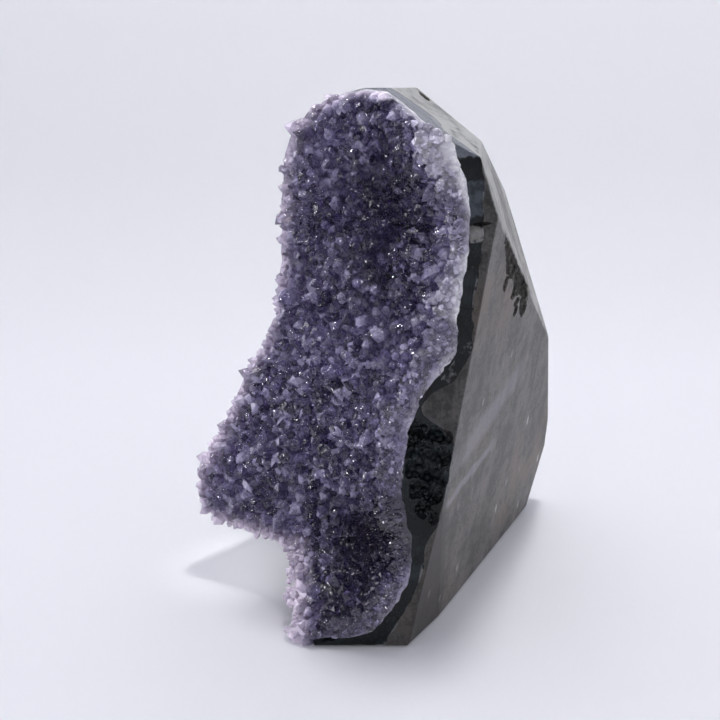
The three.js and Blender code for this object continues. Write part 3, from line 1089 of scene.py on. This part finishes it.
def basalt():
    f = Finish("polished_basalt")
    polish = f.read("polish")
    grain = f.noise(1500, 4, 0.7)
    mottle = f.noise(310, 4, 0.7)
    cloud = f.noise(75, 4, 0.6)
    wide = f.noise(24, 3, 0.5)
    draw = f.noise(1, 6, 0.7, place=f.stretched(620, 620, 62, STREAK_TURN))
    broad_draw = f.noise(1, 4, 0.6, place=f.stretched(150, 150, 26, STREAK_TURN))
    tone = 0.20 * grain + 0.30 * mottle + 0.20 * cloud + 0.16 * draw + 0.14 * broad_draw
    stone = f.blend(f.step(tone, 0.43, 0.57), (0.030, 0.028, 0.026), (0.158, 0.148, 0.136))
    stone = f.blend(f.step(mottle, 0.53, 0.66) * 0.40, stone, (0.040, 0.039, 0.039))
    rust = f.step(wide * 0.6 + cloud * 0.4, 0.50, 0.64)
    stone = f.blend(rust * 0.5, stone, (0.140, 0.100, 0.075))
    waver = (cloud - 0.5) * 7 * MM + (f.noise(260, 4, 0.6) - 0.5) * 2.6 * MM
    run = f.along(facing(FLATS[BROAD][0] + 90, 0))
    vein = near_sheet(f, VEIN_START, VEIN_END, 6.2 * MM, waver) * (1 - f.step(run, 2 * MM, 20 * MM))
    branch = near_sheet(f, BRANCH_START, BRANCH_END, 2.4 * MM, waver) * (1 - f.step(run, -10 * MM, 4 * MM))
    ends = f.step(wide, 0.34, 0.5)
    veined = f.most(vein * 0.42, branch * 0.55) * ends * (0.35 + 0.65 * draw)
    stone = f.blend(veined, stone, (0.40, 0.38, 0.44))
    streak = f.step(f.noise(1, 3, 0.5, place=f.stretched(420, 420, 30, STREAK_TURN)), 0.62, 0.72)
    stone = f.blend(streak * f.step(cloud, 0.42, 0.6) * 0.35, stone, (0.36, 0.35, 0.34))
    fleck_cells = f.cells(1, place=f.stretched(170, 170, 62, STREAK_TURN))
    fleck = (1 - f.step(fleck_cells, 0.05, 0.14)) * f.step(f.noise(36, 2), 0.50, 0.60)
    stone = f.blend(fleck * 0.75, stone, (0.62, 0.61, 0.60))
    pit = (1 - f.step(f.cells(420), 0.06, 0.13)) * f.step(f.noise(55, 3), 0.48, 0.6)
    stone = f.blend(pit * 0.7, stone, (0.012, 0.012, 0.012))
    # Painted highlight: the top and the long bevel are painted pale, partly a weathered skin and partly the
    # light these upward flats catch.
    crust_lines = f.noise(1, 5, 0.65, place=f.stretched(90, 90, 620))
    top, bevel = on_face(f, "top"), on_face(f, BEVEL)
    worn = f.step(f.noise(42, 4, 0.6) + (mottle - 0.5) * 0.5, 0.36, 0.62)
    pale_skin_and_painted_highlight = f.step(top * (0.45 + 0.55 * worn) + bevel * (0.12 + 0.78 * worn), 0, 1, smooth=False)
    pale_skin_and_painted_highlight = pale_skin_and_painted_highlight * f.step(crust_lines * 0.5 + mottle * 0.5, 0.30, 0.50)
    stone = f.blend(pale_skin_and_painted_highlight * 0.85, stone, (0.62, 0.62, 0.60))
    stone = f.blend((1 - polish) * 0.8, stone, f.blend(f.step(grain * 0.5 + mottle * 0.5, 0.42, 0.64),
                                                     (0.016, 0.015, 0.015), (0.085, 0.078, 0.070)))
    # Painted shade: the flat beside the crystals and its chamfer are painted darker, for the little light
    # they get from the camera's side.
    painted_front_shade = f.most(on_face(f, SIDE), on_face(f, CHAMFER) * 1.9)
    stone = f.blend(painted_front_shade * 0.37, stone, (0.020, 0.018, 0.017))
    rough = 0.26 + 0.16 * draw + 0.14 * mottle + 0.35 * (1 - polish) + 0.25 * pale_skin_and_painted_highlight
    relief = f.bump(grain * 0.3 + mottle * 0.5 + draw * 0.5 - pit * 0.8, 0.16 * MM, 0.8)
    relief = f.bump((f.noise(700, 5, 0.65)) * (1 - polish), 0.7 * MM, 1.0, normal=relief)
    return f.done(f.gloss({"Base Color": stone, "Roughness": rough, "IOR": 1.55, "Specular IOR Level": 0.3,
                           "Normal": relief}))


coat(rock, basalt())


# %% [markdown]
# ### Chalcedony
# The rind is glassy and almost black, a little green, with faint bands that follow the wall and three
# paler zones.

# %% Chalcedony
# Paler zones of the rind, from a height to a height in mm, with a colour and how strongly it shows.
RIND_ZONES = {
    "under the top": (139.5, 170, (0.20, 0.22, 0.25), 0.95),
    "grey-blue": (124.5, 133.5, (0.085, 0.102, 0.122), 0.85),
    "pale": (117.6, 121.4, (0.40, 0.39, 0.37), 0.75),
}


def chalcedony():
    f = Finish("dark_chalcedony")
    polish, depth = f.read("polish"), f.read("depth")
    cloud = f.noise(48, 3, 0.5, place=f.stretched(1, 1, 1.9))
    fine = f.noise(800, 4, 0.6)
    mottle = f.noise(330, 4, 0.7)
    band = f.noise(1, 3, 0.6, place=f.node("ShaderNodeCombineXYZ", {}, {0: depth * 3.1, 1: cloud * 2.0}))
    tone = 0.5 * cloud + 0.25 * band + 0.25 * mottle
    stone = f.blend(f.step(tone, 0.44, 0.62), (0.0012, 0.0024, 0.0030), (0.018, 0.026, 0.030))
    height = f.along((0, 0, 1)) + (mottle - 0.5) * 5 * MM
    for low, high, color, share in RIND_ZONES.values():
        zone = f.step(height, low * MM, (low + 1) * MM) * (1 - f.step(height, high * MM, (high + 1) * MM))
        stone = f.blend(zone * share * (0.4 + 0.6 * f.step(mottle, 0.36, 0.6)), stone, color)
    skin = 1 - f.step(f.size_of(f.read("to_rock") + (mottle - 0.5) * 0.9), 0.05, 0.28)
    stone = f.blend(skin * f.step(cloud + (mottle - 0.5), 0.45, 0.6) * 0.5, stone, (0.36, 0.36, 0.36))
    stone = f.blend((1 - polish) * f.step(fine, 0.58, 0.74) * 0.35, stone, (0.16, 0.20, 0.19))
    rough = 0.12 + 0.18 * mottle + 0.12 * (1 - polish)
    relief = f.bump(fine, 0.12 * MM, 0.5)
    return f.done(f.gloss({"Base Color": stone, "Roughness": rough, "IOR": 1.54, "Specular IOR Level": 0.22,
                           "Normal": relief}))


rind_places = corners_of(rind)
behind = (rind_places[:, 1] - wall_y(rind_places[:, 0], rind_places[:, 2])) * -wall_normals(
    rind_places[:, 0], rind_places[:, 2])[:, 1]
stored(rind, "depth", behind / MM)
stored(rind, "to_rock", (rind_depth(rind_places[:, 0], rind_places[:, 2]) - behind) / MM)
coat(rind, chalcedony())

# %% [markdown]
# ### Amethyst
# Amethyst is clear quartz with a violet stain. It bends light strongly and swallows everything but violet
# on the way through, so it gets real transmission, the index of quartz and an absorbing volume. Clear
# crystal alone would look like glass, though: real points are full of films and tiny cracks. So part of
# the surface is a violet haze, another share for every point, and next to the rind and along the sawn rim
# the quartz is milky.

# %% How far each corner of the crust stands from the rind, and how near it is to a sawn edge
crust_places = corners_of(crust)
x, z = crust_places[:, 0], crust_places[:, 2]
growth = (wall_y(x, z) - crust_places[:, 1]) * -wall_normals(x, z)[:, 1]
sawn = np.min([-beyond_flat(crust_places, name) for name in (SIDE, "top", "crown")], axis=0)
torn = np.minimum(right_of_break(crust_places), np.maximum(short_of_ledge(crust_places), z - UNDERCUT_TOP))
stored(crust, "growth", growth / MM)
stored(crust, "from_saw", sawn / MM)
stored(crust, "from_break", torn / MM)
# Painted shade over the deep hollows: frame x and z of the middle, half width, half height, all in mm, and
# how dark.
PAINTED_SHADE_HOLLOWS = [(13, 121, 9, 14, 0.9), (14, 21, 9, 12, 1.5), (20, 32, 7, 8, 1.3), (28, 43, 5, 8, 0.9),
                (17, 11, 6, 5, 0.7), (-8, 112, 8, 10, 0.4), (-2, 58, 8, 8, 0.3)]
hollow = sum(dark * np.exp(-((x / MM - at_x) / wide)**2 - ((z / MM - at_z) / tall)**2)
             for at_x, at_z, wide, tall, dark in PAINTED_SHADE_HOLLOWS)
stored(crust, "hollow", hollow)


CANDIDATES = 7


def shade_of_faces(piece, stands, scales, headings, rng):
    """Two random numbers for every face of the crust, from the point that it belongs to.

    Of the nearest points, that is the one whose own shaft or tip the face lies on.
    """
    centres = np.empty(len(piece.data.polygons) * 3)
    piece.data.polygons.foreach_get("center", centres)
    centres = centres.reshape(-1, 3)
    middles = stands + headings * scales[:, 2:3]
    tree = kdtree.KDTree(len(middles))
    for index, middle in enumerate(middles):
        tree.insert(middle, index)
    tree.balance()
    near = np.array([[hit[1] for hit in tree.find_n(centre, CANDIDATES)] for centre in centres])
    from_stand = centres[:, None, :] - stands[near]
    height = np.einsum("fcx,fcx->fc", from_stand, headings[near])
    beside = np.linalg.norm(from_stand - height[..., None] * headings[near], axis=2) / scales[near, 0]
    height = height / scales[near, 2]
    taper = np.clip((2.1 - height) / 0.95, 0.05, 1)
    own = near[np.arange(len(near)), (beside / taper).argmin(axis=1)]
    return rng.random(len(stands))[own], rng.random(len(stands))[own]


shade, clarity = shade_of_faces(crust, stands, scales, headings, np.random.default_rng(SEED + 5))
for name, values in (("shade", shade), ("clarity", clarity)):
    crust.data.attributes.new(name, "FLOAT", "FACE").data.foreach_set("value", values.astype(np.float32))
print("growth in mm:", round(growth.min() / MM, 2), "to", round(growth.max() / MM, 2))


# %% Amethyst
def amethyst():
    f = Finish("amethyst_points")
    growth, from_saw, from_break = f.read("growth"), f.read("from_saw"), f.read("from_break")
    shade, clarity, hollow = f.read("shade"), f.read("clarity"), f.read("hollow")
    patch = f.noise(75, 3, 0.55)
    cloud = f.noise(520, 4, 0.7)
    speck = f.noise(1500, 4, 0.75)
    facets = f.cells(820)

    clear = f.gloss({"Base Color": (0.95, 0.92, 1.0, 1), "Roughness": 0.02, "IOR": 1.544,
                     "Transmission Weight": 1.0, "Normal": f.bump(facets, 0.20 * MM, 1.0)})

    waver = cloud * 2.6
    height = f.along((0, 0, 1))
    upper_rim = 0.35 + 0.65 * f.step(height, 0.070, 0.100)
    broken_rim = (0.25 + 0.75 * f.step(f.noise(60, 3, 0.6), 0.40, 0.58)) * upper_rim
    low, high = 1 - f.step(height, 0.060, 0.095), f.step(height, 0.085, 0.115)
    near_saw = (1 - f.step(from_saw + waver + low * 0.8, 1.3, 3.2)) * broken_rim
    at_rind = 1 - f.step(growth + waver, 1.4, 4.2)
    beside_saw = (1 - f.step(from_saw + waver, 3.0, 11.0)) * (0.3 + 0.7 * f.step(height, 0.060, 0.090))
    # Painted light: points near the broken edge, most of all low on the lobe, are painted lighter and
    # pinker, for the light the forward-leaning lobe catches from above and the light that shines through the
    # thin edge.
    painted_light_at_break = (1 - f.step(from_break + waver, 1.5, 8.0)) * (1.35 - 0.35 * f.step(height, 0.036, 0.056))
    tone = 0.34 * shade + 0.22 * cloud + 0.24 * speck + 0.20 * patch + beside_saw * 0.03 + painted_light_at_break * 0.12
    # Painted shade: points in the deep hollows are painted darker, and are kept from turning milky there.
    tone = tone - hollow * 0.24
    violet = f.blend(f.step(tone, 0.36, 0.56), (0.010, 0.008, 0.026), (0.15, 0.125, 0.26))
    violet = f.blend(f.step(tone, 0.52, 0.68), violet, (0.46, 0.43, 0.61))
    violet = f.blend(near_saw * (0.35 + 0.55 * at_rind), violet, (0.92, 0.90, 0.97))
    violet = f.blend(painted_light_at_break * (0.35 + 0.6 * cloud), violet, (0.80, 0.70, 0.84))
    cloudy = f.gloss({"Base Color": violet, "Roughness": 0.10, "IOR": 1.544,
                      "Normal": f.bump(facets * 0.7 + cloud * 0.5, 0.26 * MM, 1.0)})
    haze = f.step(0.55 * clarity + 0.45 * cloud, 0.15, 0.80) * 0.55 + 0.10
    haze = haze + painted_light_at_break * 0.15 + beside_saw * 0.08 + near_saw * high * 0.35
    stone = f.node("ShaderNodeMixShader", {}, {0: haze, 1: clear, 2: cloudy})

    frost = f.noise(900, 5, 0.7)
    frost_gap = f.blend(high, (0.16, 0.14, 0.25), (0.60, 0.58, 0.68))
    milk_color = f.blend(f.step(frost * 0.6 + cloud * 0.4, 0.40, 0.58), frost_gap, (0.95, 0.94, 0.98))
    milky = f.gloss({"Base Color": milk_color, "Roughness": 0.28, "IOR": 1.544,
                     "Normal": f.bump(frost, 0.6 * MM, 1.0)})
    seat = (1 - f.step(growth, 0.3, 0.9)) * f.step(patch, 0.38, 0.62) * 0.6 * broken_rim
    milk = f.step(near_saw * (0.06 + 0.85 * at_rind) + seat - hollow * 0.8, 0.0, 1.0, smooth=False)
    surface = f.node("ShaderNodeMixShader", {}, {0: milk, 1: stone, 2: milky})
    volume = f.node("ShaderNodeVolumeAbsorption", {}, {"Color": (0.36, 0.27, 0.62, 1), "Density": 120})
    return f.done(surface, volume)


coat(crust, amethyst())

# %% [markdown]
# ## The table, the light and the camera
# The stone stands on a sheet of pale paper that curves up softly behind it, like the cove of a small
# photo tent. The camera looks down a little with a long lens, so that upright edges stay nearly upright.

# %% Camera
CAMERA_TURN, CAMERA_RISE, CAMERA_DISTANCE = 48, 26, 494 * MM
LOOK_AT = Vector((0.53, -19.48, 68.4)) * MM
SIDESTEP = 1 / 60

camera_data = bpy.data.cameras.new("camera")
camera = bpy.data.objects.new("camera", camera_data)
bpy.context.scene.collection.objects.link(camera)
towards_camera = facing(CAMERA_TURN, CAMERA_RISE)
camera.location = LOOK_AT + towards_camera * CAMERA_DISTANCE
camera.rotation_euler = (-towards_camera).to_track_quat("-Z", "Y").to_euler()
camera_data.lens, camera_data.sensor_width = 91.75, 36
camera_data.shift_x, camera_data.shift_y = -SIDESTEP, SIDESTEP
camera_data.clip_start = 0.01
bpy.context.scene.camera = camera

# %% Sweep
away = -facing(CAMERA_TURN, 0)
sweep_turn = math.atan2(away.y, away.x)
BEND_START, BEND_RADIUS, BEND_END = 0.13, 0.2, math.radians(36)
SLOPE_END, FLOOR_FRONT, SWEEP_HALF = 0.35, 1.4, 1.5
profile = [(-FLOOR_FRONT, 0)] + [(BEND_START + BEND_RADIUS * math.sin(a), BEND_RADIUS * (1 - math.cos(a)))
                                 for a in np.linspace(0, BEND_END, 24)]
last = profile[-1]
profile.append((SLOPE_END, last[1] + (SLOPE_END - last[0]) * math.tan(BEND_END)))
sweep = fresh("sweep", bpy.ops.mesh.primitive_grid_add, x_subdivisions=len(profile) - 1,
              y_subdivisions=1, size=1)
places = corners_of(sweep)
order = np.round((places[:, 0] + 0.5) * (len(profile) - 1)).astype(int)
run = np.array(profile)[order]
side = np.array([-away.y, away.x])
y = places[:, 1] * 2 * SWEEP_HALF
places = np.stack([run[:, 0] * away.x + y * side[0], run[:, 0] * away.y + y * side[1], run[:, 1]], axis=1)
move_corners(sweep, places)


def paper():
    f = Finish("pale_paper")
    return f.done(f.gloss({"Base Color": (0.84, 0.84, 0.885, 1), "Roughness": 0.7}))


coat(sweep, paper())
in_edit_mode(sweep, lambda: bpy.ops.mesh.faces_shade_smooth())

# %% [markdown]
# Soft light comes from above and from all sides but the camera's, which keeps the polished front dark. A
# small key lamp high over the stone draws the short shadow at its foot. Blender can tell a lamp which
# pieces it lights, as a snoot or a flag does in a studio. Two windows and seven small lamps light the
# crust alone, and the small ones make its glints. One window lights the rock alone. A wide lamp and three
# spots light the paper alone, and the stone doesn't block them, so they lift the shadows at its right and
# under the lobe more than real lamps could.

# %% Light
def room(name, dim, bright):
    """A world, dim on the camera's side and bright behind the stone, as in a tent lit from the back."""
    world = bpy.data.worlds.new(name)
    bpy.context.scene.world = world
    world.use_nodes = True
    tree = world.node_tree
    place = tree.nodes.new("ShaderNodeTexCoord")
    side = tree.nodes.new("ShaderNodeVectorMath")
    side.operation = "DOT_PRODUCT"
    side.inputs[1].default_value = -facing(CAMERA_TURN, 0)
    ramp = tree.nodes.new("ShaderNodeMapRange")
    ramp.inputs["From Min"].default_value, ramp.inputs["From Max"].default_value = -0.9, 0.5
    ramp.inputs["To Min"].default_value, ramp.inputs["To Max"].default_value = dim, bright
    tree.links.new(place.outputs["Generated"], side.inputs[0])
    tree.links.new(side.outputs["Value"], ramp.inputs["Value"])
    tree.links.new(ramp.outputs["Result"], tree.nodes["Background"].inputs["Strength"])
    tree.nodes["Background"].inputs["Color"].default_value = (0.86, 0.88, 1, 1)


room("light_tent", 0.15, 0.74)


def lit_alone(piece):
    """A collection that a lamp can be told to light, and nothing else."""
    group = bpy.data.collections.new(f"{piece.name}_alone")
    group.objects.link(piece)
    return group


crust_alone, rock_alone, paper_alone = lit_alone(crust), lit_alone(rock), lit_alone(sweep)


def softbox(name, turn, rise, distance, size, power, color=(1, 1, 1), receivers=None):
    """A square lamp that looks at the stone. One with receivers lights only those pieces."""
    light = bpy.data.lights.new(name, "AREA")
    light.shape, light.size, light.energy, light.color = "SQUARE", size, power, color
    lamp = bpy.data.objects.new(name, light)
    bpy.context.scene.collection.objects.link(lamp)
    out = facing(turn, rise)
    lamp.location = LOOK_AT + out * distance
    lamp.rotation_euler = out.to_track_quat("Z", "Y").to_euler()
    if receivers:
        lamp.light_linking.receiver_collection = receivers
    return lamp


softbox("key", 172, 83.5, 1.1, 0.16, 2.5, (1.0, 0.985, 0.965))
softbox("overhead", -132, 78, 1.1, 1.3, 1.8)
paper_fill = softbox("paper fill", 48, 86, 1.6, 1.2, 3.4, receivers=paper_alone)
paper_fill.light_linking.blocker_collection = paper_alone
softbox("low left window", -58, 14, 1.3, 0.9, 2.0, receivers=crust_alone)
softbox("right window", 125, 20, 1.3, 0.9, 2.4, receivers=rock_alone)
softbox("crystal window", -55, 34, 1.3, 0.6, 3.4, receivers=crust_alone)
SPARKS = [(-25, 50, 2.0), (5, 24, 1.5), (75, 62, 1.4), (30, 40, 1.4), (-50, 15, 1.6),
          (10, 70, 1.6), (48, 10, 1.0)]
for number, (turn, rise, power) in enumerate(SPARKS):
    softbox(f"spark {number}", turn, rise, 1.25, 0.09, power, receivers=crust_alone)

UNDER_LOBE = Vector((-29, -37, 0)) * MM
BOUNCE_HEIGHT, BOUNCE_HALF_WIDTH, BOUNCE_SPACING = 300 * MM, 24 * MM, 9 * MM
for place in (-1, 0, 1):
    bounce = bpy.data.lights.new(f"bounce {place + 2}", "SPOT")
    bounce.energy, bounce.spot_blend = 0.5, 1
    bounce.spot_size = 2 * math.atan(BOUNCE_HALF_WIDTH / BOUNCE_HEIGHT)
    lamp = bpy.data.objects.new(bounce.name, bounce)
    bpy.context.scene.collection.objects.link(lamp)
    sideways = facing(CAMERA_TURN + 90, 0) * place * BOUNCE_SPACING
    lamp.location = UNDER_LOBE + sideways + Vector((0, 0, BOUNCE_HEIGHT))
    lamp.light_linking.receiver_collection = lamp.light_linking.blocker_collection = paper_alone

scene = bpy.context.scene
scene.view_settings.view_transform = "Standard"
scene.cycles.use_denoising = True
scene.cycles.max_bounces = 16
scene.cycles.transmission_bounces = 14
scene.cycles.glossy_bounces = 4
scene.cycles.diffuse_bounces = 3
scene.cycles.caustics_reflective = True
scene.cycles.caustics_refractive = True
